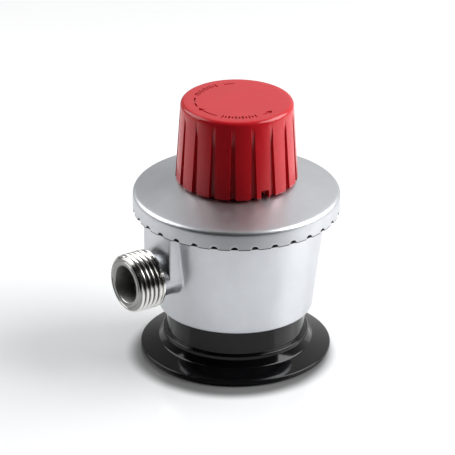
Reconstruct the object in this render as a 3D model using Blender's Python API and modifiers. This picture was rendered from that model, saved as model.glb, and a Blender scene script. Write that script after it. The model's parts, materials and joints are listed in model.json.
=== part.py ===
"""Clip-on low-pressure gas regulator for a 35 mm cylinder valve.

The regulator stands upright on its release sleeve. Lengths are in millimetres here and become
metres in the mesh. Everything is turned round the main axis, and an empty carries that axis,
set off from the origin so that the origin lies under the middle of the whole object.
"""
import bpy
import bmesh
from math import cos, pi, radians, sin, tan
from mathutils import Matrix, Vector

MM = 0.001
GAP = 0.3                     # room left between pieces that touch

# Overall sizes
COVER_R = 37.0                # the cover's rim, the widest round piece
OUTLET_REACH = 47.4           # from the main axis to the outlet's end face
AXIS_X = (OUTLET_REACH - COVER_R) / 2

# Number of flats on round pieces, by size
LARGE, MEDIUM, SMALL, TINY = 36, 24, 18, 12

# Body
BODY_TOP_R = 32.1             # at the flange's underside
BODY_FOOT_R, BODY_FOOT_Z = 27.6, 17.7
SKIRT_R = 25.25               # bore round the release sleeve
DECK_LOW, DECK_HIGH = 37.0, 42.0
CHAMBER_R = 28.5
FLANGE_R, FLANGE_LOW, FLANGE_HIGH = 35.3, 55.8, 58.0
CAGE_HOLE_R = 8.3

# Outlet, along -X
OUTLET_Z = 36.7
BOSS_HALF, BOSS_FACE, BOSS_TOP = 8.4, 34.2, 54.4
BOSS_DEPTH, COLLAR_FACE = 7.5, 36.4
PITCH = 25.4 / 14             # G 1/2 pipe thread
THREAD_R, ROOT_R = 20.955 / 2, 18.631 / 2
OUTLET_BORE_R, SHANK_R, SHANK_BORE_R = 6.74, 6.0, 4.6
DUCT_NEAR, DUCT_FAR, DUCT_HALF = 26.8, 31.5, 5.6

# Cover
CONE_R, CONE_Z, CONE_SLOPE = 22.0, 65.8, tan(radians(15.8))
RIM_LOW, RIM_ROUND, RIM_WALL = 54.8, 1.5, 1.4
CRIMP_COUNT, CRIMP_PHASE = 32, radians(9.4)
CRIMP_HALF, CRIMP_TOP = 1.2, 56.0
TOWER_R, TOWER_BORE_R, TOWER_TOP = 13.0, 11.5, 85.0
STOP_R, STOP_ANGLE = 18.3, radians(-97.0 - 3.2)
STOP_TOP, STOP_FOOT = 70.4, 65.2
VENT_R, VENT_ANGLE = 27.0, radians(65)

# Knob
KNOB_FOOT_R, KNOB_FOOT_Z = 21.8, 67.0
KNOB_TOP_R, KNOB_TOP_Z = 20.1, 96.0
KNOB_EDGE = 2.0               # height of the rounded top edge
KNOB_WALL, KNOB_ROOF = 2.1, 2.2
HUB_R, HUB_FOOT = 10.5, 86.0  # the knob's inner hub, which grips the cam sleeve
GUIDE_FOOT = 72.0             # the knob's inner guide ring round the tower
GROOVE_TOP = 93.5
NOTCH_HALF, NOTCH_TOP = 1.5, 69.9
RIB_COUNT, RIB_PHASE = 18, radians(11.66)
NOTCH_ANGLE = radians(-97.0)
KNOB_TURN = radians(120)
SPINDLE_STROKE = 3.5

# Ball lock
BALL_COUNT, BALL_R, BALL_CENTRE_R, BALL_Z = 6, 2.75, 19.0, 10.0
BALL_STROKE, SLEEVE_STROKE = 1.6, 7.0
CAGE_R, CAGE_FOOT, CAGE_TOP = 21.5, 0.8, 21.0
CAGE_NECK_R, CAGE_NECK_TOP = 12.0, 35.7
SOCKET_R, SOCKET_TOP = 17.8, 18.5
LAND_R = BALL_CENTRE_R + BALL_R + GAP
RAMP_TOP, RAMP_FOOT = 10.6, 3.0
NECK_R = 24.9

# Lever and diaphragm
LEVER_X, LEVER_Z = 12.0, 48.6
JET_X, JET_TOP = 17.0, 46.0
BEAM_LOW, BEAM_HIGH = 48.9, 50.4
DIAPHRAGM_STROKE = 2.5
CROSS_PIN_Z = 88.0


def clear_scene():
    for old in list(bpy.data.objects):
        bpy.data.objects.remove(old, do_unlink=True)


def new_collection(name):
    collection = bpy.data.collections.new(name)
    bpy.context.scene.collection.children.link(collection)
    return collection


clear_scene()
PARTS = new_collection("gas_regulator")
CUTTERS = new_collection("cutters")
AXIS = bpy.data.objects.new("main_axis", None)
AXIS.location = (AXIS_X * MM, 0, 0)
PARTS.objects.link(AXIS)


def finish(name, colour, roughness, metallic):
    """A Principled material."""
    material = bpy.data.materials.new(name)
    material.use_nodes = True
    shader = material.node_tree.nodes["Principled BSDF"]
    shader.inputs["Base Color"].default_value = (*colour, 1)
    shader.inputs["Roughness"].default_value = roughness
    shader.inputs["Metallic"].default_value = metallic
    return material


ZINC = (0.62, 0.63, 0.65), 0.35, 1.0
BRASS = (0.72, 0.53, 0.24), 0.3, 1.0
STEEL = (0.56, 0.56, 0.58), 0.25, 1.0
SPRING_STEEL = (0.42, 0.43, 0.45), 0.3, 1.0
NICKEL = (0.68, 0.66, 0.63), 0.15, 1.0
RED_PLASTIC = (0.60, 0.03, 0.04), 0.35, 0.0
BLACK_PLASTIC = (0.012, 0.012, 0.014), 0.2, 0.0
WHITE_PLASTIC = (0.80, 0.80, 0.76), 0.45, 0.0
BLACK_RUBBER = (0.03, 0.03, 0.03), 0.7, 0.0


def place(name, data, look, location=(0, 0, 0), rotation=(0, 0, 0)):
    """Put mesh or curve data in the scene on the main axis; with no look it is a cutter."""
    piece = bpy.data.objects.new(name, data)
    piece.parent = AXIS
    piece.location = Vector(location) * MM
    piece.rotation_euler = rotation
    if look:
        data.materials.append(finish(name, *look))
        PARTS.objects.link(piece)
    else:
        piece.hide_render = True
        piece.display_type = "WIRE"
        CUTTERS.objects.link(piece)
    return piece


def mesh_from(bm, name):
    bm.transform(Matrix.Scale(MM, 4))
    mesh = bpy.data.meshes.new(name)
    bm.to_mesh(mesh)
    bm.free()
    return mesh


def turned(name, profile, steps, look, ring=True, location=(0, 0, 0), rotation=(0, 0, 0)):
    """Turn a profile of (radius, height) points, given down its outer side. A ring's profile closes."""
    bm = bmesh.new()
    points = [bm.verts.new((r, 0, z)) for r, z in profile]
    for a, b in zip(points, points[1:]):
        bm.edges.new((a, b))
    if ring:
        bm.edges.new((points[-1], points[0]))
    mesh = mesh_from(bm, name)
    piece = place(name, mesh, look, location, rotation)
    screw = piece.modifiers.new("turn", "SCREW")
    screw.steps = screw.render_steps = steps
    screw.use_merge_vertices = True
    screw.merge_threshold = 0.00001
    screw.use_smooth_shade = False
    return piece


def add_cylinder(bm, radius, length, centre, axis="Z", sides=TINY):
    """A cylinder about one of the axes; returns its vertices."""
    turn = {"X": Matrix.Rotation(pi / 2, 4, "Y"), "Y": Matrix.Rotation(pi / 2, 4, "X"),
            "Z": Matrix.Identity(4)}[axis]
    made = bmesh.ops.create_cone(bm, cap_ends=True, segments=sides, radius1=radius, radius2=radius,
                                 depth=length, matrix=Matrix.Translation(centre) @ turn)
    return made["verts"]


def add_box(bm, low, high, matrix=Matrix.Identity(4)):
    """A box between two corners; returns its vertices."""
    low, high = Vector(low), Vector(high)
    scale = Matrix.Diagonal((*(high - low), 1))
    made = bmesh.ops.create_cube(bm, size=1, matrix=matrix @ Matrix.Translation((low + high) / 2) @ scale)
    return made["verts"]


def cylinder(name, radius, length, centre, look, axis="Z", sides=TINY):
    """A plain round piece, with its origin at its centre."""
    bm = bmesh.new()
    add_cylinder(bm, radius, length, (0, 0, 0), axis, sides)
    return place(name, mesh_from(bm, name), look, centre)


def tool(name, bm):
    return place(name, mesh_from(bm, name), None)


def combine(piece, other, operation):
    step = piece.modifiers.new(other.name, "BOOLEAN")
    step.operation = operation
    step.object = other


def cut(piece, other):
    combine(piece, other, "DIFFERENCE")


def join(piece, other):
    combine(piece, other, "UNION")


def polar(radius, angle, z=0.0):
    return Vector((radius * cos(angle), radius * sin(angle), z))


def around(count, phase=0.0):
    return [phase + 2 * pi * i / count for i in range(count)]


def cone_z(radius):
    """Height of the cover's conical top."""
    return CONE_Z + (CONE_R - radius) * CONE_SLOPE


def wire_ring(name, major, minor, z, look, segments=SMALL):
    """An O-ring."""
    sides = 8
    profile = [(major + minor * cos(-a), z + minor * sin(-a)) for a in around(sides)]
    return turned(name, profile, segments, look)


def coil(name, mean_r, wire_r, low, high, turns, per_turn, look):
    """A compression spring, with its first and last half turn closed up."""
    curve = bpy.data.curves.new(name, "CURVE")
    curve.dimensions = "3D"
    curve.bevel_depth = wire_r * MM
    curve.bevel_resolution = 2
    curve.use_fill_caps = True
    count = int(turns * per_turn)
    spline = curve.splines.new("POLY")
    spline.points.add(count)
    start, end = low + wire_r, high - wire_r
    dead = 0.5 / turns
    for i, point in enumerate(spline.points):
        share = min(max((i / count - dead) / (1 - 2 * dead), 0), 1)
        spot = polar(mean_r, 2 * pi * turns * i / count, start + (end - start) * share) * MM
        point.co = (*spot, 1)
    return place(name, curve, look)


def build_body():
    body = turned("body_casting", [
        (31.0, FLANGE_HIGH), (FLANGE_R, FLANGE_HIGH), (FLANGE_R, FLANGE_LOW), (BODY_TOP_R, FLANGE_LOW),
        (BODY_FOOT_R, BODY_FOOT_Z), (SKIRT_R, BODY_FOOT_Z), (SKIRT_R, DECK_LOW), (CAGE_HOLE_R, DECK_LOW),
        (CAGE_HOLE_R, DECK_HIGH), (CHAMBER_R, DECK_HIGH), (CHAMBER_R, FLANGE_HIGH - 1.5)], LARGE, ZINC)

    bm = bmesh.new()
    add_box(bm, (-BOSS_FACE, -BOSS_HALF, OUTLET_Z), (-CHAMBER_R + 1.5, BOSS_HALF, BOSS_TOP))
    join(body, tool("boss_block", bm))
    bm = bmesh.new()
    root = CHAMBER_R - 1.5
    made = add_cylinder(bm, BOSS_HALF, COLLAR_FACE - root, (0, 0, 0), "X", LARGE)
    bmesh.ops.scale(bm, vec=(1, 1, BOSS_DEPTH / BOSS_HALF), verts=made)
    bmesh.ops.translate(bm, vec=(-(COLLAR_FACE + root) / 2, 0, OUTLET_Z), verts=made)
    join(body, tool("boss_round", bm))

    bm = bmesh.new()
    add_box(bm, (-DUCT_FAR, -DUCT_HALF, OUTLET_Z - DUCT_HALF), (-DUCT_NEAR, DUCT_HALF, 52))
    cut(body, tool("outlet_duct", bm))
    bm = bmesh.new()
    add_cylinder(bm, SHANK_R + GAP, COLLAR_FACE + 1 - 28.5, (-(COLLAR_FACE + 1 + 28.5) / 2, 0, OUTLET_Z),
                 "X", MEDIUM)
    cut(body, tool("nipple_hole", bm))

    post_in, post_out = 3.4, 5.4
    for side in (-1, 1):
        bm = bmesh.new()
        ends = sorted((side * post_in, side * post_out))
        add_box(bm, (LEVER_X - 2, ends[0], DECK_HIGH - 1), (LEVER_X + 2, ends[1], LEVER_Z + 2))
        join(body, tool("lever_post", bm))
    bm = bmesh.new()
    add_cylinder(bm, 1.25, 14, (LEVER_X, 0, LEVER_Z), "Y")
    cut(body, tool("lever_pin_hole", bm))

    bm = bmesh.new()
    add_cylinder(bm, 3.0 + GAP, 4, (JET_X, 0, 40.2 + 2))
    cut(body, tool("jet_seat", bm))
    bm = bmesh.new()
    add_cylinder(bm, 0.9, 2.4, (JET_X, 0, 40.2))
    cut(body, tool("jet_feed", bm))
    bm = bmesh.new()
    add_cylinder(bm, 0.9, JET_X - 7, ((JET_X + 7) / 2, 0, 39.2), "X")
    cut(body, tool("gas_passage", bm))


def build_outlet():
    ridges = []
    crest = OUTLET_REACH - 1.3
    while crest > 38.6:
        ridges += [(THREAD_R, crest), (ROOT_R, crest - PITCH / 2)]
        crest -= PITCH
    turned("outlet_nipple", [
        (OUTLET_BORE_R, OUTLET_REACH), (9.2, OUTLET_REACH), *ridges,
        (THREAD_R, 37.9), (THREAD_R, COLLAR_FACE + GAP), (SHANK_R, COLLAR_FACE + GAP), (SHANK_R, 29.5),
        (SHANK_BORE_R, 29.5), (SHANK_BORE_R, 37.5), (OUTLET_BORE_R, 38.6)], MEDIUM, NICKEL,
        location=(0, 0, OUTLET_Z), rotation=(0, -pi / 2, 0))


def build_cover():
    shelf = FLANGE_HIGH + 2.9
    edge = COVER_R - RIM_ROUND
    groove_low, groove_high = 82.4, 83.8
    cover = turned("cover", [
        (TOWER_BORE_R, TOWER_TOP), (TOWER_R, TOWER_TOP), (TOWER_R, cone_z(TOWER_R)), (edge, cone_z(edge)),
        (COVER_R - 0.4, cone_z(edge) - 0.5), (COVER_R, cone_z(edge) - RIM_ROUND), (COVER_R, RIM_LOW),
        (33.4, RIM_LOW), (33.4, RIM_LOW + 0.7), (COVER_R - RIM_WALL, RIM_LOW + 0.7),
        (COVER_R - RIM_WALL, shelf), (30.0, shelf + 0.3), (14.0, 66.2), (TOWER_BORE_R, 66.6),
        (TOWER_BORE_R, groove_low), (12.2, groove_low), (12.2, groove_high), (TOWER_BORE_R, groove_high)],
        LARGE, ZINC)
    bm = bmesh.new()
    for angle in around(CRIMP_COUNT, CRIMP_PHASE):
        add_box(bm, (COVER_R - 1.0, -CRIMP_HALF, RIM_LOW - 1), (COVER_R + 1, CRIMP_HALF, CRIMP_TOP),
                Matrix.Rotation(angle, 4, "Z"))
    cut(cover, tool("crimp_notches", bm))
    bm = bmesh.new()
    add_cylinder(bm, 1.0 + GAP, 6, polar(STOP_R, STOP_ANGLE, 66.5))
    add_cylinder(bm, 0.75, 6, polar(VENT_R, VENT_ANGLE, cone_z(VENT_R)))
    cut(cover, tool("pin_and_vent_holes", bm))
    cylinder("stop_pin", 1.0, STOP_TOP - STOP_FOOT, polar(STOP_R, STOP_ANGLE, (STOP_TOP + STOP_FOOT) / 2),
             STEEL)


def build_knob():
    inner_foot, inner_top = KNOB_FOOT_R - KNOB_WALL, KNOB_TOP_R - KNOB_WALL
    roof = KNOB_TOP_Z - KNOB_ROOF
    rounding = [(KNOB_TOP_R - KNOB_EDGE * (1 - sin(a)), KNOB_TOP_Z - KNOB_EDGE * (1 - cos(a)))
                for a in (0, radians(35), radians(65), radians(90))]
    knob = turned("knob", [
        (0, KNOB_TOP_Z), *rounding, (KNOB_FOOT_R, KNOB_FOOT_Z), (inner_foot, KNOB_FOOT_Z), (inner_top, roof),
        (TOWER_R + 1.8, roof), (TOWER_R + 1.8, GUIDE_FOOT), (TOWER_R + 0.4, GUIDE_FOOT),
        (TOWER_R + 0.4, roof), (HUB_R, roof), (HUB_R, HUB_FOOT), (8.7, HUB_FOOT), (8.7, roof), (0, roof)],
        LARGE, RED_PLASTIC, ring=False, rotation=(0, 0, RIB_PHASE))
    bm = bmesh.new()
    below = 1.0
    top_r, foot_r = KNOB_TOP_R - 0.3, KNOB_FOOT_R - 1.3
    for angle in around(RIB_COUNT):
        corners = add_box(bm, (top_r, -0.4, KNOB_FOOT_Z - below), (top_r + 3, 0.4, GROOVE_TOP))
        for corner in corners:
            if corner.co.z < KNOB_FOOT_Z:
                corner.co.y *= 2.2
                corner.co.x += foot_r - top_r
        bmesh.ops.rotate(bm, cent=(0, 0, 0), matrix=Matrix.Rotation(angle, 3, "Z"), verts=corners)
    grooves = tool("knob_grooves", bm)
    grooves.rotation_euler = (0, 0, RIB_PHASE)
    cut(knob, grooves)
    bm = bmesh.new()
    add_box(bm, (inner_foot - 1.5, -NOTCH_HALF, KNOB_FOOT_Z - 1), (KNOB_FOOT_R + 1, NOTCH_HALF, NOTCH_TOP),
            Matrix.Rotation(NOTCH_ANGLE, 4, "Z"))
    cut(knob, tool("sight_notch", bm))
    lug_half, lug_top = 1.2, 71.5
    clearance = (lug_half + 1.0 + GAP) / STOP_R
    for lug_angle in (STOP_ANGLE + clearance, STOP_ANGLE - KNOB_TURN - clearance):
        bm = bmesh.new()
        add_box(bm, (STOP_R - 1.0, -lug_half, KNOB_FOOT_Z + 1), (inner_foot + 0.6, lug_half, lug_top),
                Matrix.Rotation(lug_angle, 4, "Z"))
        join(knob, tool("stop_lug", bm))


def build_cam():
    cam = turned("cam_sleeve", [(5.6, 93.1), (8.4, 93.1), (8.4, 82.3), (10.9, 82.3), (10.9, 80.8),
                                (5.6, 80.8)], MEDIUM, WHITE_PLASTIC)
    half_height, spare, steps = 1.0 + GAP + 0.1, radians(12), 14
    for side in (0, pi):
        bm = bmesh.new()
        previous = None
        for i in range(steps + 1):
            angle = spare - (KNOB_TURN + 2 * spare) * i / steps
            drop = SPINDLE_STROKE * min(max(-angle / KNOB_TURN, 0), 1)
            middle = CROSS_PIN_Z - drop
            corners = [polar(r, angle + side, middle + h) for r, h in
                       ((4.6, -half_height), (9.6, -half_height), (9.6, half_height), (4.6, half_height))]
            ring = [bm.verts.new(corner) for corner in corners]
            if previous is None:
                bm.faces.new(ring)
            else:
                for j in range(4):
                    bm.faces.new((previous[j - 1], previous[j], ring[j], ring[j - 1]))
            previous = ring
        bm.faces.new(reversed(previous))
        bmesh.ops.recalc_face_normals(bm, faces=bm.faces)
        cut(cam, tool("helical_slot", bm))
    ring = turned("retaining_ring", [(9.0, 83.5), (11.9, 83.5), (11.9, 82.7), (9.0, 82.7)], MEDIUM,
                  SPRING_STEEL)
    bm = bmesh.new()
    add_box(bm, (6, -1.5, 82), (14, 1.5, 84.2))
    cut(ring, tool("ring_gap", bm))


def build_spindle():
    turned("spindle", [(0, 91.2), (3.2, 91.2), (3.2, 84.8), (1.5, 84.8), (1.5, 44.3), (0, 44.3)], SMALL,
           STEEL, ring=False)
    bm = bmesh.new()
    add_cylinder(bm, 1.25, 10, (0, 0, CROSS_PIN_Z), "X")
    cut(bpy.data.objects["spindle"], tool("cross_hole", bm))
    cylinder("cross_pin", 1.0, 15.6, (0, 0, CROSS_PIN_Z), STEEL, "X")
    nut = turned("adjusting_nut", [(3.5, 90.5), (5.3, 90.5), (5.3, 80.0), (TOWER_BORE_R - GAP, 80.0),
                                   (TOWER_BORE_R - GAP, 76.0), (3.5, 76.0)], SMALL, BRASS)
    bm = bmesh.new()
    add_box(bm, (-7, -1.35, CROSS_PIN_Z - SPINDLE_STROKE - 1.35), (7, 1.35, 92))
    cut(nut, tool("guide_slot", bm))
    coil("main_spring", 9.4, 0.75, 57.6, 75.7, 5.5, 10, SPRING_STEEL)


def build_diaphragm():
    turned("diaphragm", [
        (4.3, 55.8), (24.0, 55.8), (26.0, 57.9), (28.0, 59.3), (30.0, 59.5), (35.2, 59.5), (35.2, 58.3),
        (30.4, 58.3), (28.6, 58.0), (26.8, 56.8), (24.8, 54.6), (4.3, 54.6)], MEDIUM, BLACK_RUBBER)
    turned("diaphragm_plate", [(4.3, 57.3), (22.0, 57.3), (22.0, 56.1), (4.3, 56.1)], MEDIUM, STEEL)
    turned("diaphragm_washer", [(4.3, 54.3), (16.0, 54.3), (16.0, 53.3), (4.3, 53.3)], MEDIUM, STEEL)
    turned("clamp_ring", [(31.2, 60.6), (35.1, 60.6), (35.1, 59.8), (31.2, 59.8)], LARGE, STEEL)
    turned("diaphragm_hub", [
        (1.8, 61.0), (4.0, 61.0), (4.0, 53.0), (6.0, 53.0), (6.0, 51.3), (2.9, 51.3), (2.9, 47.7),
        (5.2, 47.7), (5.2, 46.6), (1.8, 46.6), (1.8, 58.2), (3.1, 58.2), (3.1, 59.8), (1.8, 59.8)],
        SMALL, BRASS)
    wire_ring("hub_oring", 2.3, 0.5, 59.0, BLACK_RUBBER, TINY)
    nut = cylinder("hub_nut", 7.4, 2.3, (0, 0, 58.75), BRASS, sides=6)
    bm = bmesh.new()
    add_cylinder(bm, 4.0 + GAP, 6, (0, 0, 58.75), sides=SMALL)
    cut(nut, tool("nut_hole", bm))


def build_lever():
    pivot = Vector((LEVER_X, 0, LEVER_Z))
    outline = [(19.8, -3.0), (19.8, 3.0), (8.5, 3.0), (6.0, 5.6), (-3.0, 5.6), (-3.0, 3.3), (3.6, 3.3),
               (3.6, -3.3), (-3.0, -3.3), (-3.0, -5.6), (6.0, -5.6), (8.5, -3.0)]
    curve = bpy.data.curves.new("lever_plate", "CURVE")
    curve.dimensions = "2D"
    curve.fill_mode = "BOTH"
    curve.extrude = (BEAM_HIGH - BEAM_LOW) / 2 * MM
    spline = curve.splines.new("POLY")
    spline.points.add(len(outline) - 1)
    spline.use_cyclic_u = True
    for point, (x, y) in zip(spline.points, outline):
        point.co = ((x - LEVER_X) * MM, y * MM, 0, 1)
    flat = place("lever_plate", curve, None)
    bpy.context.view_layer.update()
    mesh = bpy.data.meshes.new_from_object(flat.evaluated_get(bpy.context.evaluated_depsgraph_get()))
    bpy.data.objects.remove(flat, do_unlink=True)
    bm = bmesh.new()
    bm.from_mesh(mesh)
    bmesh.ops.remove_doubles(bm, verts=bm.verts, dist=0.00001)
    bmesh.ops.translate(bm, verts=bm.verts, vec=(0, 0, ((BEAM_LOW + BEAM_HIGH) / 2 - LEVER_Z) * MM))
    bmesh.ops.recalc_face_normals(bm, faces=bm.faces)
    bm.to_mesh(mesh)
    bm.free()
    lever = place("seat_lever", mesh, STEEL, pivot)
    bm = bmesh.new()
    add_cylinder(bm, 2.2, 5.9, pivot, "Y")
    join(lever, tool("lever_eye", bm))
    bm = bmesh.new()
    add_cylinder(bm, 1.25, 8, pivot, "Y")
    cut(lever, tool("lever_eye_hole", bm))
    cylinder("lever_pin", 0.95, 10.4, pivot, STEEL, "Y")
    drop_to_seat = DIAPHRAGM_STROKE * (JET_X - LEVER_X) / LEVER_X
    pad_low = JET_TOP + 2 * GAP + drop_to_seat
    pad_high = BEAM_LOW - GAP
    cylinder("seat_pad", 2.4, pad_high - pad_low, (JET_X, 0, (pad_high + pad_low) / 2), BLACK_RUBBER)


def build_jet():
    turned("orifice_jet", [(0.6, JET_TOP), (1.4, JET_TOP), (1.9, 45.0), (3.0, 44.4), (3.0, 40.5),
                           (0.6, 40.5)], TINY, BRASS, location=(JET_X, 0, 0))


def build_cage():
    cage = turned("ball_cage", [
        (5.0, 41.9), (8.0, 41.9), (8.0, CAGE_NECK_TOP), (CAGE_NECK_R, CAGE_NECK_TOP),
        (CAGE_NECK_R, CAGE_TOP), (CAGE_R, CAGE_TOP), (CAGE_R, CAGE_FOOT), (SOCKET_R, CAGE_FOOT),
        (SOCKET_R, SOCKET_TOP), (9.3, SOCKET_TOP), (9.3, 20.0),
        (4.7, 20.0), (4.7, SOCKET_TOP), (2.2, SOCKET_TOP), (2.2, 24.0), (3.4, 24.0), (3.4, 39.9),
        (5.0, 39.9)], MEDIUM, BRASS)
    bm = bmesh.new()
    for angle in around(BALL_COUNT):
        made = add_cylinder(bm, BALL_R + GAP, 8, ((SOCKET_R + CAGE_R) / 2, 0, BALL_Z), "X")
        bmesh.ops.rotate(bm, matrix=Matrix.Rotation(angle, 3, "Z"), verts=made)
    cut(cage, tool("ball_holes", bm))
    bm = bmesh.new()
    add_cylinder(bm, 0.9, 8, (6.0, 0, 39.2), "X")
    cut(cage, tool("gas_port", bm))
    for number, angle in enumerate(around(BALL_COUNT), 1):
        bm = bmesh.new()
        bmesh.ops.create_uvsphere(bm, u_segments=10, v_segments=6, radius=BALL_R)
        name = f"ball_{number}"
        place(name, mesh_from(bm, name), STEEL, polar(BALL_CENTRE_R, angle, BALL_Z))
    turned("inlet_seal", [(5.0, 19.7), (9.0, 19.7), (9.0, 16.6), (5.0, 16.6)], MEDIUM, BLACK_RUBBER)
    turned("cage_gasket", [(8.6, 36.7), (11.7, 36.7), (11.7, 36.0), (8.6, 36.0)], MEDIUM, BLACK_RUBBER)


def build_push_pin():
    turned("push_pin", [(0, 44.0), (1.5, 44.0), (1.5, 34.5), (3.0, 34.5), (3.0, 33.0), (1.5, 33.0),
                        (1.5, 17.6), (0.9, 17.0), (0, 17.0)], TINY, STEEL, ring=False)
    coil("push_pin_spring", 2.6, 0.3, 24.3, 32.7, 5.5, 8, SPRING_STEEL)
    turned("pin_gland", [(1.9, 43.0), (4.7, 43.0), (4.7, 40.2), (3.1, 40.2), (3.1, 41.5), (1.9, 41.5)],
           SMALL, BRASS)
    wire_ring("pin_oring", 2.3, 0.5, 40.85, BLACK_RUBBER, TINY)


def build_sleeve():
    bead_r, bead_z, ring_r, ring_edge = 26.05, 7.3, 34.2, 2.0
    flare = [(26.3, 6.2), (27.4, 4.7), (29.6, 3.3), (32.0, 2.4)]
    ramp_r = LAND_R + (RAMP_TOP - RAMP_FOOT) * BALL_STROKE / SLEEVE_STROKE
    turned("release_sleeve", [
        (16.0, 23.3), (NECK_R - 0.4, 23.3), (NECK_R, 22.9), (NECK_R, 8.7), (bead_r - 0.35, 8.2),
        (bead_r, bead_z), *flare, (ring_r - 0.3, ring_edge), (ring_r, ring_edge - 0.4), (ring_r, 0.3),
        (ring_r - 0.3, 0), (ramp_r, 0), (ramp_r, RAMP_FOOT), (LAND_R, RAMP_TOP), (LAND_R, 21.3),
        (16.0, 21.3)], LARGE, BLACK_PLASTIC)
    coil("sleeve_spring", 18.5, 0.8, 23.6, 36.7, 3.5, 14, SPRING_STEEL)


build_body()
build_outlet()
build_cover()
build_knob()
build_cam()
build_spindle()
build_diaphragm()
build_lever()
build_jet()
build_cage()
build_push_pin()
build_sleeve()

for piece in PARTS.objects:
    if piece.type == "MESH":
        piece.data.shade_smooth()
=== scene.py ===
"""Studio scene of the clip-on gas regulator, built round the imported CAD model.

Lengths are in millimetres about the regulator's main axis until a mesh is made, where they become
metres in the model's own frame. Heights are above the surface that the release ring stands on.
"""
import json
from math import ceil, cos, degrees, hypot, pi, radians, sin, sqrt, tan

import bmesh
import bpy
from mathutils import Matrix, Vector


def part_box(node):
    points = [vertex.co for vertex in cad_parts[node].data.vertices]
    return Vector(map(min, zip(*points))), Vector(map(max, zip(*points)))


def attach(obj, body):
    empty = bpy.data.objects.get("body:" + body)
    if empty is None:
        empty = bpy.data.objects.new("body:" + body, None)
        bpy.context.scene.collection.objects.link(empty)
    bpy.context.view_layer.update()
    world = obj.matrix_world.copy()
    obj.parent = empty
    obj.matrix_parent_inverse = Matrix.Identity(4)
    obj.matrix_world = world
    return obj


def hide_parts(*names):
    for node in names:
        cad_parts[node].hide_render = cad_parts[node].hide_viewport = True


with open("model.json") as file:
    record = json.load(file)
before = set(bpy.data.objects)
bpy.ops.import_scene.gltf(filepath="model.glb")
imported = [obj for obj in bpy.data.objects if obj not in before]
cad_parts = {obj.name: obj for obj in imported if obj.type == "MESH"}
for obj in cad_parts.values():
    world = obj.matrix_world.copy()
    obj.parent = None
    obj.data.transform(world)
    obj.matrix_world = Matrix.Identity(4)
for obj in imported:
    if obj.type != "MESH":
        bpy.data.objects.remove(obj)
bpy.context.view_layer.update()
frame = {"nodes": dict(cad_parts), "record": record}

MM = 0.001


def span(node):
    """Lowest and highest corner of a CAD node, in millimetres."""
    low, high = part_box(node)
    return low / MM, high / MM


AXIS_X = sum(corner.x for corner in span("release_sleeve")) / 2
CENTRE_Z = 48.0                       # half the regulator's height

# Cover
COVER_R = (span("cover")[1].x - span("cover")[0].x) / 2
RIM_LOW, TOWER_TOP = span("cover")[0].z, span("cover")[1].z
CONE_R, CONE_Z, CONE_SLOPE = 22.0, 65.8, tan(radians(15.8))
TOWER_R, TOWER_BORE_R = 13.0, 11.5
CRIMPS, CRIMP_PHASE = 32, radians(9.4)
CRIMP_HALF, CRIMP_RISE, CRIMP_DEPTH = 1.3, 1.45, 0.55
STOP_R, STOP_ANGLE, STOP_PIN_R = 18.3, radians(-100.2), 1.0
VENT_R, VENT_ANGLE = 27.0, radians(65)

# Knob
KNOB_FOOT, KNOB_TOP = span("knob")[0].z, span("knob")[1].z
KNOB_FOOT_R, KNOB_TOP_R, KNOB_SHOULDER = 21.8, 20.1, 1.5
KNOB_WALL, KNOB_ROOF, KNOB_TURN = 2.1, 2.2, radians(120)
RIBS, RIB_PHASE, GROOVE_TOP, GROOVE_DEPTH = 18, radians(11.66), 94.2, 1.3
GROOVE_HALF, GROOVE_GROWTH = 0.5, 0.45       # half width at the top, and its gain down to the foot
NOTCH_ANGLE, NOTCH_TOP, NOTCH_HALF = radians(-97), 69.9, 1.5
LUG_HALF, LUG_TOP = 1.2, 71.5
FRONT = radians(-124.6)               # the side of the knob that its marks are read from

# Body
FLANGE_R, FLANGE_LOW, FLANGE_HIGH = 35.3, 55.8, 58.0
BODY_TOP_R, BODY_FOOT_R, BODY_FOOT = 32.1, 27.6, 17.7
SKIRT_R, DECK_LOW, DECK_HIGH, CHAMBER_R, CAGE_HOLE_R = 25.25, 37.0, 42.0, 28.5, 8.3

# Outlet
OUTLET_Z = sum(corner.z for corner in span("outlet_nipple")) / 2
OUTLET_REACH = AXIS_X - span("outlet_nipple")[0].x
PITCH, THREAD_R, ROOT_R = 25.4 / 14, 10.478, 9.316
WEB_HALF, WEB_FACE, WEB_TOP, STUB_HALF_HEIGHT, STUB_FACE = 8.4, 34.2, 54.4, 7.5, 36.4
BORE_R, SHANK_R, SHANK_BORE_R = 6.74, 6.0, 4.6

# Socket
BALL_RING_R, BALL_Z, BALL_R, BALL_HOLE_R = 19.0, 10.0, 2.75, 3.05
PORT_Z, PORT_R = 39.2, 0.9

# Finishes
CLOUD, SMEAR = 9.0, 3.5               # size of the patches of colour and of gloss
NOISE_LOW, NOISE_HIGH = 0.3, 0.7      # the range that a noise texture mostly keeps to
WAVE_PHASE = 20                       # radians that a wave texture runs through per unit


# ---------------------------------------------------------------- meshes

def polar(radius, angle, z=0.0):
    return Vector((radius * cos(angle), radius * sin(angle), z))


def around(count, phase=0.0):
    return [phase + 2 * pi * i / count for i in range(count)]


def smooth(share):
    """0 to 1 with level ends."""
    share = min(max(share, 0.0), 1.0)
    return share * share * (3 - 2 * share)


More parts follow.
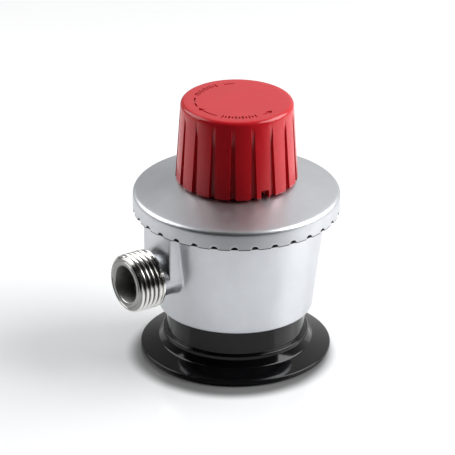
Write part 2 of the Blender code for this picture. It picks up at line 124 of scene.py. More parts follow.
def rounded(corners):
    """A closed outline through (x, z, rounding) corners, each turned into an arc."""
    points = []
    for i, (x, z, radius) in enumerate(corners):
        here = Vector((x, z))
        if not radius:
            points.append(here)
            continue
        before = Vector(corners[i - 1][:2])
        after = Vector(corners[(i + 1) % len(corners)][:2])
        into, out = (here - before).normalized(), (after - here).normalized()
        turn = into.angle(out)
        side = 1 if into.x * out.y - into.y * out.x > 0 else -1
        inward = Vector((-into.y, into.x)) * side
        centre = here - into * radius * tan(turn / 2) + inward * radius
        steps = max(2, ceil(degrees(turn) / 11))
        for k in range(steps + 1):
            angle = turn * k / steps
            points.append(centre - inward * radius * cos(angle) + into * radius * sin(angle))
    return points


def divided(points, longest):
    """The closed outline with its long straight stretches split."""
    out = []
    for here, after in zip(points, points[1:] + points[:1]):
        parts = max(1, ceil((after - here).length / longest))
        out += [here.lerp(after, k / parts) for k in range(parts)]
    return out


def mesh_object(name, bm):
    """A piece in the scene from a mesh in millimetres about the main axis."""
    bmesh.ops.remove_doubles(bm, verts=bm.verts, dist=0.0005)
    bmesh.ops.recalc_face_normals(bm, faces=bm.faces)
    bm.transform(Matrix.Scale(MM, 4) @ Matrix.Translation((AXIS_X, 0, 0)))
    mesh = bpy.data.meshes.new(name)
    bm.to_mesh(mesh)
    bm.free()
    piece = bpy.data.objects.new(name, mesh)
    bpy.context.scene.collection.objects.link(piece)
    return piece


def skin(bm, columns, shift=0, start=0, end=0):
    """Faces between neighbouring columns of points, which close round. Where the last column meets the
    first, its points from start to end join those that are shift points further on."""
    count = len(columns[0])
    verts = [[bm.verts.new(point) for point in column] for column in columns]
    for i, column in enumerate(verts):
        last = i == len(verts) - 1
        following = verts[0] if last else verts[i + 1]
        partners = list(range(count))
        if last:
            partners[start:end] = [min(index + shift, end - 1) for index in range(start, end)]
        for j in range(count):
            k = (j + 1) % count
            quad = []
            for corner in (column[j], column[k], following[partners[k]], following[partners[j]]):
                if corner not in quad:
                    quad.append(corner)
            if len(quad) > 2:
                bm.faces.new(quad)


def lathe(name, outline, count=144, shape=None, columns=None):
    """Turns a closed outline of (radius, height) round the main axis. A shape gives the radius, height
    and angle of an outline's point in a column."""
    bm = bmesh.new()
    columns = columns or around(count)
    shape = shape or (lambda radius, z, angle: (radius, z, angle))
    points = []
    for column in columns:
        points.append([])
        for radius, z in outline:
            radius, height, angle = shape(radius, z, column)
            points[-1].append(polar(radius, angle, height))
    skin(bm, points)
    return mesh_object(name, bm)


def box_mesh(bm, low, high, turn=Matrix.Identity(4)):
    low, high = Vector(low), Vector(high)
    place = turn @ Matrix.Translation((low + high) / 2) @ Matrix.Diagonal((*(high - low), 1))
    bmesh.ops.create_cube(bm, size=1, matrix=place)


def combine(piece, bm, operation="DIFFERENCE"):
    """Cuts a tool out of a piece, or joins it on, for good."""
    other = mesh_object("tool", bm)
    step = piece.modifiers.new("tool", "BOOLEAN")
    step.operation, step.object = operation, other
    graph = bpy.context.evaluated_depsgraph_get()
    mesh = bpy.data.meshes.new_from_object(piece.evaluated_get(graph))
    piece.modifiers.clear()
    piece.data = mesh
    bpy.data.objects.remove(other, do_unlink=True)


def drill(piece, start, end, radius, sides=40):
    """Cuts a round hole between two points."""
    start, end = Vector(start), Vector(end)
    turn = (end - start).to_track_quat("Z", "Y").to_matrix().to_4x4()
    hole = bmesh.new()
    bmesh.ops.create_cone(hole, cap_ends=True, segments=sides, radius1=radius, radius2=radius,
                          depth=(end - start).length,
                          matrix=Matrix.Translation((start + end) / 2) @ turn)
    combine(piece, hole)


def add_piece(piece, body, slot, look, *nodes, sharp=32):
    """Shades a finished piece, gives it its look, puts it under its body and hides the CAD nodes that it
    stands for.
    """
    piece.data.shade_smooth()
    piece.data.set_sharp_from_angle(angle=radians(sharp))
    piece.data.materials.clear()
    piece.data.materials.append(look)
    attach(piece, body)
    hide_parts(*nodes)


# ---------------------------------------------------------------- materials

def node_in(tree, kind, **values):
    """A shader node with its settings and its unlinked inputs."""
    node = tree.nodes.new(kind)
    for key, value in values.items():
        if hasattr(node, key):
            setattr(node, key, value)
        else:
            node.inputs[key.replace("_", " ").title()].default_value = value
    return node


def link_in(tree, node, output="Result", **sockets):
    """Links sockets to a node's inputs, and gives its output."""
    for key, socket in sockets.items():
        tree.links.new(socket, node.inputs[key])
    return node.outputs[output]


def object_position(tree):
    return tree.nodes.new("ShaderNodeTexCoord").outputs["Object"]


def noise(tree, where, size, detail, roughness):
    """Noise with patches of about a size in millimetres."""
    node = node_in(tree, "ShaderNodeTexNoise", scale=1 / (size * MM), detail=detail, roughness=roughness)
    return link_in(tree, node, "Fac", Vector=where)


def span_map(tree, value, low, high, at_low=0.0, at_high=1.0):
    """A value that goes from at_low to at_high while another goes from low to high."""
    node = node_in(tree, "ShaderNodeMapRange", from_min=low, from_max=high, to_min=at_low, to_max=at_high)
    return link_in(tree, node, Value=value)


def ramp(tree, value, low, high, at_low=0.0, at_high=1.0):
    """The same between two lengths in millimetres."""
    return span_map(tree, value, low * MM, high * MM, at_low, at_high)


def bump_map(tree, height, depth):
    """A bump node of a depth in millimetres."""
    node = node_in(tree, "ShaderNodeBump", distance=depth * MM, strength=1.0)
    tree.links.new(height, node.inputs["Height"])
    return node


def surface(name, colour, rough, metallic=0.0, spread=0.05, grain=0.3, height=0.01, wear=0.05,
            waves=None, gloss_level=0.5):
    """A finish with colour that varies a little, fine grain, and uneven gloss. grain and height are the
    bump's size and depth in millimetres, and waves an optional (size, depth) of broad unevenness."""
    look = bpy.data.materials.new(name)
    look.use_nodes = True
    tree = look.node_tree
    link = tree.links.new
    shader = tree.nodes["Principled BSDF"]
    shader.inputs["Metallic"].default_value = metallic
    shader.inputs["Specular IOR Level"].default_value = gloss_level
    where = object_position(tree)

    tint = span_map(tree, noise(tree, where, CLOUD, 5, 0.6), NOISE_LOW, NOISE_HIGH, 1 - spread, 1 + spread)
    shade = node_in(tree, "ShaderNodeVectorMath", operation="SCALE")
    shade.inputs[0].default_value = colour
    link(link_in(tree, shade, "Vector", Scale=tint), shader.inputs["Base Color"])

    gloss = span_map(tree, noise(tree, where, SMEAR, 4, 0.65), NOISE_LOW, NOISE_HIGH,
                     rough - wear / 2, rough + wear / 2)
    link(gloss, shader.inputs["Roughness"])

    bump = bump_map(tree, noise(tree, where, grain, 3, 0.55), height)
    if waves:
        size, depth = waves
        swell = bump_map(tree, noise(tree, where, size, 1, 0.4), depth)
        link(swell.outputs["Normal"], bump.inputs["Normal"])
    link(bump.outputs["Normal"], shader.inputs["Normal"])
    return look


def cut_lines(look, where, size, depth, **wave):
    """Adds the fine lines that a lathe tool leaves, one every size millimetres, under the finish's grain."""
    tree = look.node_tree
    grain = tree.nodes["Principled BSDF"].inputs["Normal"].links[0].from_node
    lines = node_in(tree, "ShaderNodeTexWave", scale=2 * pi / (WAVE_PHASE * size * MM), **wave)
    groove = bump_map(tree, link_in(tree, lines, "Fac", Vector=where), depth)
    tree.links.new(groove.outputs["Normal"], grain.inputs["Normal"])


def position(tree, centre=(0, 0, 0), keep=(1, 1, 1)):
    """Where a point is from a centre given in millimetres about the main axis."""
    offset = node_in(tree, "ShaderNodeVectorMath", operation="SUBTRACT")
    offset.inputs[1].default_value = Vector((AXIS_X + centre[0], centre[1], centre[2])) * MM
    tree.links.new(object_position(tree), offset.inputs[0])
    mask = node_in(tree, "ShaderNodeVectorMath", operation="MULTIPLY")
    mask.inputs[1].default_value = keep
    tree.links.new(offset.outputs["Vector"], mask.inputs[0])
    return mask.outputs["Vector"]


def length(tree, vector):
    """A vector's length."""
    node = node_in(tree, "ShaderNodeVectorMath", operation="LENGTH")
    tree.links.new(vector, node.inputs[0])
    return node.outputs["Value"]


def maths(tree, operation, a, b):
    """One operation on two values."""
    node = node_in(tree, "ShaderNodeMath", operation=operation)
    tree.links.new(a, node.inputs[0])
    tree.links.new(b, node.inputs[1])
    return node.outputs["Value"]


def darken(look, factor):
    """Multiplies the finish's colour."""
    tree = look.node_tree
    shader = tree.nodes["Principled BSDF"]
    source = shader.inputs["Base Color"].links[0].from_socket
    shade = node_in(tree, "ShaderNodeVectorMath", operation="SCALE")
    tree.links.new(source, shade.inputs[0])
    tree.links.new(factor, shade.inputs["Scale"])
    tree.links.new(shade.outputs["Vector"], shader.inputs["Base Color"])


def part_of(tree, vector, letter):
    """One component of a vector: X, Y or Z."""
    parts = tree.nodes.new("ShaderNodeSeparateXYZ")
    tree.links.new(vector, parts.inputs[0])
    return parts.outputs[letter]


def crimp_shadow(look):
    """Painted shade along the cover's lower edge and in its crimp notches, where the lip and the notches sit
    in shadow.
    """
    tree = look.node_tree
    radius = length(tree, position(tree, keep=(1, 1, 0)))
    height = part_of(tree, position(tree), "Z")
    edge = ramp(tree, height, RIM_LOW + 0.25, RIM_LOW + 0.5)
    notch = maths(tree, "MAXIMUM", ramp(tree, radius, COVER_R - 0.3, COVER_R - 0.08),
                  ramp(tree, height, RIM_LOW + 2.2, RIM_LOW + 2.5))
    darken(look, span_map(tree, maths(tree, "MINIMUM", edge, notch), 0.0, 1.0, 0.02, 1.0))


def nipple_finish_and_painted_shade(look):
    """A darker end face and a duller bore for the nipple, with the rings of the facing cut; painted shade
    darkens the bore and the thread roots.
    """
    tree = look.node_tree
    centre = (-OUTLET_REACH, 0, OUTLET_Z)
    depth = part_of(tree, position(tree, centre), "X")
    radius = length(tree, position(tree, centre, keep=(0, 1, 1)))
    face = ramp(tree, depth, 0.05, 0.2, 0.33, 1.0)
    # painted shade inside the bore
    bore = ramp(tree, radius, BORE_R + 0.02, BORE_R + 0.3, 0.33, 1.0)
    inside = ramp(tree, radius, BORE_R + 0.3, BORE_R + 0.4, 1.0, 0.0)
    # painted shade in the thread roots, darkest at the root radius
    root = maths(tree, "MAXIMUM", ramp(tree, radius, ROOT_R + 0.2, ROOT_R + 0.7, 0.1, 1.0),
                 maths(tree, "MAXIMUM", inside, ramp(tree, depth, 0.1, 0.25, 1.0, 0.0)))
    darken(look, maths(tree, "MULTIPLY", maths(tree, "MULTIPLY", face, bore), root))
    rough = tree.nodes["Principled BSDF"].inputs["Roughness"]
    dull = ramp(tree, radius, BORE_R + 0.02, BORE_R + 0.3, 0.6, 0.0)
    tree.links.new(maths(tree, "MAXIMUM", rough.links[0].from_socket, dull), rough)
    cut_lines(look, position(tree, centre), 0.5, 0.012, wave_type="RINGS", rings_direction="X",
              distortion=0.8, detail=1)


ZINC_LOOK = dict(metallic=1.0, spread=0.03, grain=0.9, height=0.006, wear=0.06, waves=(14, 0.02))
ZINC = surface("cast_zinc", (0.585, 0.60, 0.625), 0.36, **ZINC_LOOK)
COVER_ZINC = surface("pressed_zinc", (0.585, 0.60, 0.625), 0.40, **ZINC_LOOK)
# painted shade on the cover's finish: its lower lip edge and crimp notches are darkened
crimp_shadow(COVER_ZINC)
NICKEL = surface("turned_nickel", (0.82, 0.81, 0.79), 0.17, metallic=1.0, grain=0.9, height=0.003,
                 wear=0.08)
nipple_finish_and_painted_shade(NICKEL)
RED = surface("red_plastic", (0.52, 0.010, 0.017), 0.20, spread=0.04, grain=0.9, height=0.002, wear=0.06,
              waves=(9, 0.04), gloss_level=0.42)
BLACK = surface("gloss_black", (0.003, 0.003, 0.0035), 0.10, spread=0.1, grain=1.2, height=0.001, wear=0.04,
                waves=(10, 0.02), gloss_level=0.28)
BRASS = surface("turned_brass", (0.72, 0.52, 0.23), 0.25, metallic=1.0, grain=0.3, height=0.006, wear=0.1)
cut_lines(BRASS, object_position(BRASS.node_tree), 0.25, 0.004, wave_type="BANDS", bands_direction="Z",
          distortion=1.5, detail=2)
STEEL = surface("bright_steel", (0.62, 0.62, 0.63), 0.2, metallic=1.0, grain=0.25, height=0.004, wear=0.1)
SPRING = surface("spring_steel", (0.42, 0.43, 0.45), 0.3, metallic=1.0, grain=0.2, height=0.006, wear=0.1)
WHITE = surface("white_acetal", (0.78, 0.78, 0.74), 0.42, spread=0.03, grain=0.5, height=0.006)
RUBBER = surface("black_rubber", (0.022, 0.022, 0.023), 0.6, spread=0.15, grain=0.35, height=0.02, wear=0.15)
LOOKS = {"zinc": ZINC, "nickel": NICKEL, "red_plastic": RED, "black_gloss": BLACK, "brass": BRASS,
         "steel": STEEL, "spring_steel": SPRING, "white_plastic": WHITE, "rubber": RUBBER}


# ---------------------------------------------------------------- pieces

def make_knob():
    """The red knob: a hollow cap with flutes that deepen and widen towards its foot."""
    inner_foot, roof = KNOB_FOOT_R - KNOB_WALL, KNOB_TOP - KNOB_ROOF
    inner_top = KNOB_TOP_R - KNOB_WALL
    guide_in, guide_out, guide_foot = TOWER_R + 0.4, TOWER_R + 1.8, 72.0
    hub_in, hub_out, hub_foot = 8.7, 10.5, 86.0
    outline = divided(rounded([
        (0, KNOB_TOP, 0), (KNOB_TOP_R - 0.12, KNOB_TOP, KNOB_SHOULDER), (KNOB_FOOT_R, KNOB_FOOT, 0.35),
        (inner_foot, KNOB_FOOT, 0.35), (inner_top, roof, 1.0), (guide_out, roof, 0.6),
        (guide_out, guide_foot, 0.2), (guide_in, guide_foot, 0.2), (guide_in, roof, 0.6),
        (hub_out, roof, 0.6), (hub_out, hub_foot, 0.2), (hub_in, hub_foot, 0.2), (hub_in, roof, 0.3),
        (0, roof, 0)]), 1.6)
    step = 2 * pi / RIBS
    across = (-1.5, -1.25, -1.1, -0.98, -0.85, -0.5, 0, 0.5, 0.85, 0.98, 1.1, 1.25, 1.5)
    on_land = 2                       # a column's place is on_land plus its share of the land's width
    places = (*across, *(on_land + share for share in (0.2, 0.4, 0.6, 0.8)))
    columns = [(i, place) for i in range(RIBS) for place in places]
    rise = KNOB_TOP - KNOB_SHOULDER - KNOB_FOOT

    def flute(radius, z, column):
        """Sinks the outer side into the flutes, which start shallow and narrow."""
        rib, place = column
        down = (GROOVE_TOP - z) / (GROOVE_TOP - KNOB_FOOT)
        half = (GROOVE_HALF + GROOVE_GROWTH * min(max(down, 0), 1)) / KNOB_FOOT_R
        edge = across[-1] * half
        in_groove = place < on_land
        turn = place * half if in_groove else edge + (place - on_land) * (step - 2 * edge)
        side = KNOB_FOOT_R + (KNOB_TOP_R - KNOB_FOOT_R) * (z - KNOB_FOOT) / rise
        if in_groove and radius > side - 0.7 and down > 0:
            deep = GROOVE_DEPTH * smooth(down * 3.2) * (0.55 + 0.45 * min(down, 1))
            radius -= deep * smooth((1.25 - abs(place)) / 0.3)
        return radius, z, RIB_PHASE + rib * step + turn

    knob = lathe("turn_knob", outline, shape=flute, columns=columns)
    notch = bmesh.new()
    box_mesh(notch, (inner_foot - 1.2, -NOTCH_HALF, KNOB_FOOT - 1),
             (KNOB_FOOT_R + 1, NOTCH_HALF, NOTCH_TOP), Matrix.Rotation(NOTCH_ANGLE, 4, "Z"))
    top_edges = [e for e in notch.edges if all(v.co.z > NOTCH_TOP - 0.1 for v in e.verts)]
    bmesh.ops.bevel(notch, geom=top_edges, offset=0.4, segments=3, affect="EDGES", profile=0.5)
    combine(knob, notch)
    clearance = (LUG_HALF + STOP_PIN_R + 0.3) / STOP_R
    for angle in (STOP_ANGLE + clearance, STOP_ANGLE - KNOB_TURN - clearance):
        lug = bmesh.new()
        box_mesh(lug, (STOP_R - STOP_PIN_R, -LUG_HALF, KNOB_FOOT + 1),
                 (inner_foot + 0.6, LUG_HALF, LUG_TOP), Matrix.Rotation(angle, 4, "Z"))
        combine(knob, lug, "UNION")
    combine(knob, top_marks())
    add_piece(knob, "knob", "red_plastic", RED, "knob", sharp=38)


def wedge(bm, corners, low, high):
    """An upright prism on a (radius, angle) outline."""
    bottom = [bm.verts.new(polar(r, FRONT + radians(a), low)) for r, a in corners]
    top = [bm.verts.new(polar(r, FRONT + radians(a), high)) for r, a in corners]
    bm.faces.new(bottom)
    bm.faces.new(reversed(top))
    for i in range(len(corners)):
        bm.faces.new((bottom[i - 1], top[i - 1], top[i], bottom[i]))


def top_marks():
    """Sunk marks round the knob's top: arcs with arrowheads, and ticks between them."""
    bm = bmesh.new()
    low, high = KNOB_TOP - 0.45, KNOB_TOP + 1
    ring, thick = 15.0, 0.6
    wide = degrees(0.28 / ring)

    def arc(start, end):
        count = max(2, ceil(abs(end - start) / 4))
        turns = [start + (end - start) * k / count for k in range(count + 1)]
        wedge(bm, [(ring - thick / 2, t) for t in turns]
              + [(ring + thick / 2, t) for t in reversed(turns)], low, high)

    def head(tip, ahead):
        wedge(bm, [(ring, tip + 8 * ahead), (ring + 1.3, tip), (ring - 1.3, tip)], low, high)

    def ticks(start, end, count):
        for k in range(count):
            angle = start + (end - start) * k / (count - 1)
            reach = 1.2 if k % 2 == 0 else 0.75
            wedge(bm, [(ring - reach, angle - wide), (ring + reach, angle - wide),
                       (ring + reach, angle + wide), (ring - reach, angle + wide)], low, high)

    arc(-176, -162)
    ticks(-150, -108, 10)
    arc(-98, -84)
    arc(-80, -68)
    arc(-54, -28)
    head(-55, -1)
    ticks(-20, 26, 11)
    arc(37, 46)
    head(47, 1)
    return bm


def cone_z(radius):
    """Height of the cover's conical top."""
    return CONE_Z + (CONE_R - radius) * CONE_SLOPE


def make_cover():
    """The cover: a shallow cone with a tower for the spring, whose rim is crimped round the body."""
    wall, shelf = COVER_R - 1.4, FLANGE_HIGH + 2.9
    lip_r, lip_top = 33.4, RIM_LOW + 0.7
    clip_r, clip_low, clip_high = 12.2, 82.4, 83.8
    outline = divided(rounded([
        (TOWER_BORE_R, TOWER_TOP, 0.3), (TOWER_R, TOWER_TOP, 0.4), (TOWER_R, cone_z(TOWER_R), 1.2),
        (COVER_R, cone_z(COVER_R), 1.7), (COVER_R, RIM_LOW, 0.2), (lip_r, RIM_LOW, 0.25),
        (lip_r, lip_top, 0.25), (wall, lip_top, 0.2), (wall, shelf, 0.5), (30, shelf + 0.3, 2),
        (14, 66.2, 1), (TOWER_BORE_R, 66.6, 0.4), (TOWER_BORE_R, clip_low, 0), (clip_r, clip_low, 0),
        (clip_r, clip_high, 0), (TOWER_BORE_R, clip_high, 0)]), 1.3)
    # extra rows for the crimps
    rows = []
    for here, after in zip(outline, outline[1:] + outline[:1]):
        rows.append(here)
        if here.x > COVER_R - 0.01 and after.x > COVER_R - 0.01 and min(here.y, after.y) < RIM_LOW + 2:
            rows += [here.lerp(after, k / 5) for k in range(1, 5)]
    step = 2 * pi / CRIMPS
    across = (-1.8, -1.55, -1.4, -1.25, -1.0, -0.5, 0, 0.5, 1.0, 1.25, 1.4, 1.55, 1.8)
    reach = across[-1] / COVER_R
    turns = [a / COVER_R for a in across] + [reach + s * (step - 2 * reach) for s in (0.33, 0.67)]
    columns = [CRIMP_PHASE + i * step + turn for i in range(CRIMPS) for turn in turns]
    notch_edge, blend = 1.2, 0.25     # in shares of the notch's half width

    def crimp(radius, z, angle):
        """Sinks the rim's outer side into rounded notches that open downwards."""
        off = (angle - CRIMP_PHASE + step / 2) % step - step / 2
        near = hypot(off * COVER_R / CRIMP_HALF, (z - RIM_LOW + 0.15) / CRIMP_RISE)
        if radius > COVER_R - 1.3 and near < notch_edge:
            radius -= CRIMP_DEPTH * smooth((notch_edge - near) / blend)
        return radius, z, angle

    cover = lathe("crimped_cover", rows, shape=crimp, columns=columns)
    drill(cover, polar(STOP_R, STOP_ANGLE, 62), polar(STOP_R, STOP_ANGLE, 72), STOP_PIN_R + 0.3)
    drill(cover, polar(VENT_R, VENT_ANGLE, 58), polar(VENT_R, VENT_ANGLE, 70), 0.75)
    add_piece(cover, "regulator", "zinc", COVER_ZINC, "cover")
    low, high = span("stop_pin")
    pin = lathe("stop_pin_fine", rounded([(0, high.z, 0), (STOP_PIN_R, high.z, 0.3),
                                          (STOP_PIN_R, low.z, 0.2), (0, low.z, 0)]), 32)
    pin.location = polar(STOP_R, STOP_ANGLE) * MM
    add_piece(pin, "regulator", "steel", STEEL, "stop_pin")


def body_radius(z):
    """Radius of the body's cone at a height."""
    return BODY_FOOT_R + (BODY_TOP_R - BODY_FOOT_R) * (z - BODY_FOOT) / (FLANGE_LOW - BODY_FOOT)


def boss(stations, face, edge):
    """A boss on the body's side, along -X, with a fillet where it leaves the cone. A station is a point
    of its outline with the outward direction there."""
    fillet, sink, root = 0.6, 0.015, 27.0
    foot = fillet + 0.7
    bm = bmesh.new()
    # how far each ring is outside the stations, its depth where that is fixed, and its rise off the cone
    rings = [(foot, root, 0), (foot, None, -0.6)]
    rings += [(fillet * (1 - sin(a)), None, fillet * (1 - cos(a)) - sink)
              for a in (radians(k * 9) for k in range(11))]
    rings += [(-edge * (1 - cos(a)), face - edge * (1 - sin(a)), 0)
              for a in (radians(k * 15) for k in range(7))]
    made = []
    for out, depth, rise in rings:
        ring = []
        for y, z, out_y, out_z in stations:
            py, pz = y + out * out_y, z + out * out_z
            x = depth if depth is not None else sqrt(body_radius(pz) ** 2 - py ** 2) + rise
            ring.append(bm.verts.new((-x, py, pz)))
        made.append(ring)
    for a, b in zip(made, made[1:]):
        for i in range(len(stations)):
            bm.faces.new((a[i - 1], a[i], b[i], b[i - 1]))
    bm.faces.new(made[0])
    bm.faces.new(reversed(made[-1]))
    return bm


def make_body():
    """The cast body with the outlet's boss, the deck, the lever posts and the gas passages."""
    outline = divided(rounded([
        (31, FLANGE_HIGH, 0.3), (FLANGE_R, FLANGE_HIGH, 0.4), (FLANGE_R, FLANGE_LOW, 0.3),
        (BODY_TOP_R, FLANGE_LOW, 0.5), (BODY_FOOT_R, BODY_FOOT, 0.5), (SKIRT_R, BODY_FOOT, 0.4),
        (SKIRT_R, DECK_LOW, 1.0), (CAGE_HOLE_R, DECK_LOW, 0.3), (CAGE_HOLE_R, DECK_HIGH, 0.3),
        (CHAMBER_R, DECK_HIGH, 1.0), (CHAMBER_R, FLANGE_HIGH - 1.5, 0.3)]), 1.5)
    body = lathe("cast_body", outline, 180)
    count, low = 24, OUTLET_Z - 0.5
    sides = [(-WEB_HALF, WEB_TOP + (low - WEB_TOP) * k / count, -1, 0) for k in range(count + 1)]
    sides += [(-y, z, 1, 0) for y, z, _, _ in reversed(sides)]
    combine(body, boss(sides, WEB_FACE, 0.6), "UNION")
    stub = []
    half = WEB_HALF + 0.05
    for angle in around(72):
        y, z = half * cos(angle), STUB_HALF_HEIGHT * sin(angle)
        out = Vector((y / half ** 2, z / STUB_HALF_HEIGHT ** 2)).normalized()
        stub.append((y, OUTLET_Z + z, out.x, out.y))
    combine(body, boss(stub, STUB_FACE, 0.6), "UNION")
    drill(body, (-STUB_FACE - 1, 0, OUTLET_Z), (-28.5, 0, OUTLET_Z), SHANK_R + 0.3, 64)
    duct, duct_half = bmesh.new(), 5.6
    box_mesh(duct, (-31.5, -duct_half, OUTLET_Z - duct_half), (-26.8, duct_half, 52))
    combine(body, duct)
    lever_x, lever_z, jet_x = 12.0, 48.6, 17.0
    for side in (-1, 1):
        post = bmesh.new()
        near, far = sorted((side * 3.4, side * 5.4))
        box_mesh(post, (lever_x - 2, near, DECK_HIGH - 1), (lever_x + 2, far, lever_z + 2))
        combine(body, post, "UNION")
    for start, end, radius in (((lever_x, -7, lever_z), (lever_x, 7, lever_z), 1.25),
                               ((jet_x, 0, 40.2), (jet_x, 0, 44.2), 3.3),
                               ((jet_x, 0, 39), (jet_x, 0, 41.4), PORT_R),
                               ((7, 0, PORT_Z), (jet_x, 0, PORT_Z), PORT_R)):
        drill(body, start, end, radius, 32)
    add_piece(body, "regulator", "zinc", ZINC, "body_casting", sharp=40)


def make_outlet():
    """The outlet nipple, with its helical pipe thread."""
    count, per_pitch = 120, 10
    start, end = 37.95, OUTLET_REACH - 0.5
    before = [Vector(p) for p in ((SHANK_BORE_R, 37.5), (SHANK_BORE_R, 29.8), (SHANK_BORE_R + 0.3, 29.5),
                                  (SHANK_R - 0.3, 29.5), (SHANK_R, 29.8), (SHANK_R, STUB_FACE + 0.3),
                                  (THREAD_R - 0.9, STUB_FACE + 0.3), (THREAD_R - 0.15, STUB_FACE + 0.75),
                                  (THREAD_R - 0.15, 37.55), (THREAD_R - 0.5, start - 0.15))]
    face = OUTLET_REACH
    after = [Vector(p) for p in ((9.45, face - 0.15), (9.3, face), (8.85, face), (8.7, face - 0.2),
                                 (8.5, face - 0.2), (8.35, face), (BORE_R + 0.35, face),
                                 (BORE_R, face - 0.35), (BORE_R, 42), (BORE_R, 38.6), (5.4, 38.0))]
    low_r, high_r = ROOT_R + 0.05, 9.8
    rows = ceil((end - start + PITCH) / PITCH * per_pitch) + 1

    def thread_radius(k, depth):
        """A flattened V, chamfered at the face and running out at the shoulder."""
        share = abs((k % per_pitch) / per_pitch * 2 - 1)
        radius = ROOT_R + (THREAD_R - ROOT_R) * min(max(share * 1.3 - 0.15, 0), 1)
        chamfer = high_r + (end - depth) * 1.8
        runout = low_r + (THREAD_R - low_r) * max(0, 1 - (depth - start) / (0.7 * PITCH)) * 0.6
        return min(max(radius, min(runout, radius + 0.5)), chamfer)

    columns = []
    for angle in around(count):
        column = list(before)
        for k in range(rows):
            depth = start - PITCH + k * PITCH / per_pitch + PITCH * angle / (2 * pi)
            if depth <= start:
                column.append(Vector((low_r, start)))
            elif depth >= end:
                column.append(Vector((high_r, end)))
            else:
                column.append(Vector((thread_radius(k, depth), depth)))
        columns.append([(-p.y, p.x * cos(angle), OUTLET_Z - p.x * sin(angle)) for p in column + after])
    bm = bmesh.new()
    skin(bm, columns, shift=per_pitch, start=len(before), end=len(before) + rows)
    nipple = mesh_object("outlet_stub", bm)
    add_piece(nipple, "regulator", "nickel", NICKEL, "outlet_nipple", sharp=50)


def make_sleeve():
    """The black release sleeve: a neck, a bead and a wide flared ring, with the ball ramp inside."""
    edge_r = (span("release_sleeve")[1].x - span("release_sleeve")[0].x) / 2
    top = span("release_sleeve")[1].z
    land_r = 22.05
    outline = divided(rounded([
        (16, top, 0.3), (24.9, top, 0.5), (24.9, 8.25, 0.25), (26.15, 8.1, 0.6), (26.2, 6.6, 0.3),
        (27.6, 4.1, 0.9), (edge_r, 1.95, 0.5), (edge_r, 0, 1.1), (23.79, 0, 0.3), (23.79, 3, 0.5),
        (land_r, 10.6, 0.5), (land_r, 21.3, 0.3), (16, 21.3, 0.3)]), 2.0)
    sleeve = lathe("release_ring", outline, 180)
    add_piece(sleeve, "sleeve", "black_gloss", BLACK, "release_sleeve")


def make_socket():
    """The brass socket with its locking balls, the inlet seal and the push pin."""
    foot = span("ball_cage")[0].z
    outline = divided(rounded([
        (5, 41.9, 0.2), (8, 41.9, 0.2), (8, 35.7, 0), (12, 35.7, 0.4), (12, 21, 0.5), (21.5, 21, 0.4),
        (21.5, foot, 0.5), (17.8, foot, 0.6), (17.8, 18.5, 0.4), (9.3, 18.5, 0.2), (9.3, 20, 0), (4.7, 20, 0),
        (4.7, 18.5, 0.2), (2.2, 18.5, 0.2), (2.2, 24, 0), (3.4, 24, 0), (3.4, 39.9, 0), (5, 39.9, 0)]), 2.0)
    cage = lathe("valve_socket", outline, 144)
    drill(cage, (2, 0, PORT_Z), (10, 0, PORT_Z), PORT_R, 24)
    for angle in around(6):
        drill(cage, polar(15.6, angle, BALL_Z), polar(23.6, angle, BALL_Z), BALL_HOLE_R, 48)
    add_piece(cage, "regulator", "brass", BRASS, "ball_cage")
    for number, angle in enumerate(around(6), 1):
        bm = bmesh.new()
        turn = Matrix.Rotation(angle, 4, "Z") @ Matrix.Rotation(pi / 2, 4, "Y")
        spot = Matrix.Translation(polar(BALL_RING_R, angle, BALL_Z)) @ turn
        bmesh.ops.create_uvsphere(bm, u_segments=32, v_segments=20, radius=BALL_R, matrix=spot)
        ball = mesh_object(f"locking_ball_{number}", bm)
        add_piece(ball, f"ball_{number}", "steel", STEEL, f"ball_{number}", sharp=80)
    seal = lathe("inlet_washer", rounded([(5, 19.7, 0.2), (9, 19.7, 0.2), (9, 16.6, 0.5), (7.6, 16.6, 0.1),
                                          (7.2, 16.9, 0.2), (6.8, 16.6, 0.1), (5, 16.6, 0.5)]), 96)
    add_piece(seal, "regulator", "rubber", RUBBER, "inlet_seal")
    pin = lathe("valve_pin", rounded([(0, 44, 0), (1.5, 44, 0.2), (1.5, 34.5, 0), (3, 34.5, 0.2),
                                      (3, 33, 0.2), (1.5, 33, 0), (1.5, 17, 0.45), (0, 17, 0)]), 32)
    add_piece(pin, "push_pin", "steel", STEEL, "push_pin")


make_body()
make_cover()
make_knob()
make_outlet()
make_sleeve()
make_socket()
slot_of = {part["node"]: part["material_slot"] for part in frame["record"]["subparts"]}
for name, node in frame["nodes"].items():
    node.data.materials.clear()
    node.data.materials.append(LOOKS[slot_of[name]])


# ---------------------------------------------------------------- studio

CAMERA_AZIMUTH = radians(-34.6)
BACK = Vector((sin(CAMERA_AZIMUTH), -cos(CAMERA_AZIMUTH), 0))       # level, from the object to the camera
RIGHT = Vector((cos(CAMERA_AZIMUTH), sin(CAMERA_AZIMUTH), 0))


def make_camera():
    """A long lens on the outlet's side of the front, looking down at the middle of the height."""
    azimuth, elevation, distance = CAMERA_AZIMUTH, radians(25.33), 1500 * MM
    back = Vector((sin(azimuth) * cos(elevation), -cos(azimuth) * cos(elevation), sin(elevation)))
    up = back.cross(RIGHT)
    aim = Vector((AXIS_X, 0, CENTRE_Z)) * MM - (RIGHT * 3.13 + up * 1.39) * MM
    data = bpy.data.cameras.new("camera")
    data.sensor_width, data.lens = 36, 332.25
    data.clip_start, data.clip_end = 0.05, 20
    camera = bpy.data.objects.new("camera", data)
    bpy.context.scene.collection.objects.link(camera)
    turn = Matrix((RIGHT, up, back)).transposed() @ Matrix.Rotation(radians(0.34), 3, "Z")
    camera.matrix_world = Matrix.Translation(aim + back * distance) @ turn.to_4x4()
    bpy.context.scene.camera = camera


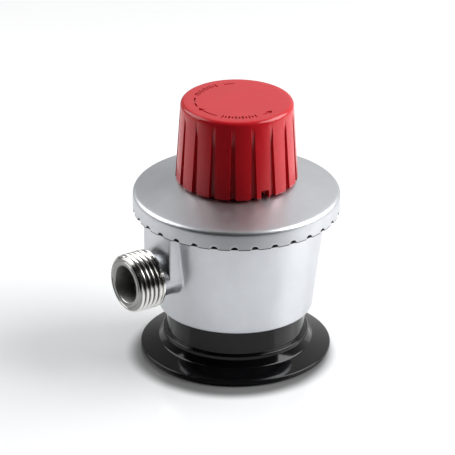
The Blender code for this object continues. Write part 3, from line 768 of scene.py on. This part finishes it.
def softbox(name, azimuth, elevation, power):
    """A square light at a direction from the object: azimuth 0 is the camera's, 90 to its right."""
    side, distance, aim_z = 360, 420, 50
    turn, tilt = radians(azimuth), radians(elevation)
    spot = ((BACK * cos(turn) + RIGHT * sin(turn)) * cos(tilt) + Vector((0, 0, sin(tilt)))) * distance
    data = bpy.data.lights.new(name, "AREA")
    data.shape, data.size, data.energy = "SQUARE", side * MM, power
    light = bpy.data.objects.new(name, data)
    light.location = (Vector((AXIS_X, 0, aim_z)) + spot) * MM
    light.rotation_euler = (-spot).to_track_quat("-Z", "Y").to_euler()
    bpy.context.scene.collection.objects.link(light)


def along(tree, vector, direction):
    """How far a vector goes in a direction."""
    node = node_in(tree, "ShaderNodeVectorMath", operation="DOT_PRODUCT")
    node.inputs[1].default_value = direction
    tree.links.new(vector, node.inputs[0])
    return node.outputs["Value"]


def make_floor():
    """A wide pale gloss floor. Away from the object, on the camera's side, its colour is painted darker for
    all but camera rays, so what the object's shiny surfaces see of it is darker, like the dark front of a
    product studio. A soft contact shadow is painted into its colour under the ring's front, and a glow
    painted on it for the camera makes it lighter towards the back."""
    bm = bmesh.new()
    bmesh.ops.create_grid(bm, x_segments=8, y_segments=8, size=3.0)
    mesh = bpy.data.meshes.new("floor")
    bm.to_mesh(mesh)
    bm.free()
    floor = bpy.data.objects.new("floor", mesh)
    bpy.context.scene.collection.objects.link(floor)
    look = bpy.data.materials.new("pale_floor")
    look.use_nodes = True
    tree = look.node_tree
    link = tree.links.new
    shader = tree.nodes["Principled BSDF"]
    shader.inputs["Roughness"].default_value = 0.16
    shader.inputs["IOR"].default_value = 1.45
    # painted reflection: for all but camera rays the floor's colour darkens away from the object on the
    # camera's side
    ahead = along(tree, object_position(tree), BACK)
    fall = ramp(tree, ahead, 85, 200, 1.0, 0.03)
    fall.node.interpolation_type = "SMOOTHSTEP"
    seen = tree.nodes.new("ShaderNodeLightPath").outputs["Is Camera Ray"]
    lit = maths(tree, "MAXIMUM", seen, fall)
    # painted shadow: the floor's colour darkens in a soft ring round the release ring, most at its front
    painted_contact_shadow = ramp(tree, length(tree, position(tree, BACK * 6 - RIGHT * 1.5)), 32.5, 39, 0.2, 1.0)
    painted_contact_shadow.node.interpolation_type = "SMOOTHSTEP"
    shade = node_in(tree, "ShaderNodeVectorMath", operation="SCALE")
    shade.inputs[0].default_value = (0.93, 0.935, 0.945)
    colour = link_in(tree, shade, "Vector", Scale=maths(tree, "MULTIPLY", lit, painted_contact_shadow))
    link(colour, shader.inputs["Base Color"])
    # painted light: the floor glows for the camera towards the back
    painted_backlight_glow = ramp(tree, ahead, -450, -80, 0.3, 0.0)
    shader.inputs["Emission Color"].default_value = (1, 1, 1, 1)
    link(maths(tree, "MULTIPLY", painted_backlight_glow, seen), shader.inputs["Emission Strength"])
    mesh.materials.append(look)


def make_world():
    """Pale to look at. As a light, bright low at the back, grey above, dark at the front, and dimmer on
    the left."""
    world = bpy.data.worlds.new("studio")
    bpy.context.scene.world = world
    world.use_nodes = True
    tree = world.node_tree
    background = tree.nodes["Background"]
    where = tree.nodes.new("ShaderNodeTexCoord").outputs["Generated"]
    level = span_map(tree, along(tree, where, -BACK), -0.2, 0.7, 0.02, 0.9)
    share = span_map(tree, along(tree, where, RIGHT), -0.3, 0.1, 0.4, 0.92)
    seen = tree.nodes.new("ShaderNodeLightPath").outputs["Is Camera Ray"]
    strength = maths(tree, "MAXIMUM", seen, maths(tree, "MULTIPLY", level, share))
    tree.links.new(strength, background.inputs["Strength"])
    background.inputs["Color"].default_value = (1, 1, 1, 1)


make_camera()
make_floor()
make_world()
softbox("right_softbox", 90, 36, 2.8)
softbox("left_softbox", -105, 36, 1.3)
bpy.context.scene.view_settings.view_transform = "Standard"
